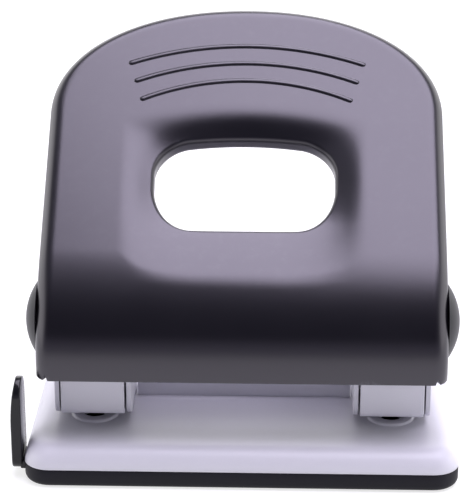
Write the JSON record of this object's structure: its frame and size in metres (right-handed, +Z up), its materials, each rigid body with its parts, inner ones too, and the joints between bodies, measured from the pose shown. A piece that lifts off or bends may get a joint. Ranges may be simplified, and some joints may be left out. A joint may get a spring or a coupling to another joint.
{
  "type": "two-hole punch",
  "caption": "Two-hole desk punch with a pressed-steel handle, twin punch towers, a sliding paper guide and a chip tray under the base.",
  "frame": {"origin": "on the table under the tray, midway between the two punched holes", "axes": "+X to the right across the punch seen from the paper side, +Y from the paper side to the back, +Z up"},
  "size_m": [0.1181, 0.0916, 0.1098],
  "materials": {
    "enamel": "satin light grey enamel",
    "charcoal": "satin charcoal enamel with a fine metallic grain",
    "black_gloss": "gloss black",
    "black_plastic": "satin black",
    "tray_plastic": "satin dark grey",
    "bright_steel": "ground and lightly oiled",
    "zinc_steel": "zinc plated",
    "spring_steel": "drawn wire"
  },
  "bodies": {
    "base": {"base_plate": "enamel", "tower_left": "enamel", "tower_right": "enamel", "punch_guide_left": "enamel", "punch_guide_right": "enamel", "paper_stop": "enamel", "tower_rivets": "zinc_steel", "stop_rivets": "zinc_steel", "hinge_pin_left": "zinc_steel", "hinge_pin_right": "zinc_steel", "pivot_washer_left": "black_plastic", "pivot_washer_right": "black_plastic", "return_spring_left": "spring_steel", "return_spring_right": "spring_steel", "guide_channel": "zinc_steel", "guide_spring": "spring_steel", "channel_studs": "zinc_steel"},
    "handle": {"handle_shell": "charcoal", "press_bar": "bright_steel", "pivot_cap_left": "black_plastic", "pivot_cap_right": "black_plastic"},
    "punch_left": {"punch_pin_left": "bright_steel", "pin_clip_left": "spring_steel"},
    "punch_right": {"punch_pin_right": "bright_steel", "pin_clip_right": "spring_steel"},
    "guide": {"paper_guide": "black_gloss"},
    "tray": {"chip_tray": "tray_plastic"}
  },
  "joints": [
    {"name": "handle_hinge", "type": "hinge", "parent": "base", "child": "handle", "pos_m": [0, -0.0085, 0.0392], "axis": [-1, 0, 0], "range_deg": [0, 34], "stiffness_Nm_per_rad": 0.6, "springref_deg": -17.19},
    {"name": "punch_left_slide", "type": "slide", "parent": "base", "child": "punch_left", "axis": [0, 0, -1], "range_m": [0, 0.0053], "deforming": ["return_spring_left"]},
    {"name": "punch_right_slide", "type": "slide", "parent": "base", "child": "punch_right", "axis": [0, 0, -1], "range_m": [0, 0.0053], "deforming": ["return_spring_right"]},
    {"name": "paper_guide_slide", "type": "slide", "parent": "base", "child": "guide", "axis": [-1, 0, 0], "range_m": [0, 0.09]},
    {"name": "tray_slide", "type": "slide", "parent": "base", "child": "tray", "axis": [0, 0, -1], "range_m": [0, 0.02]}
  ],
  "couplings": [
    {"joint": "punch_left_slide", "follows": "handle_hinge", "m_per_rad": 0.0088685},
    {"joint": "punch_right_slide", "follows": "handle_hinge", "m_per_rad": 0.0088685}
  ]
}
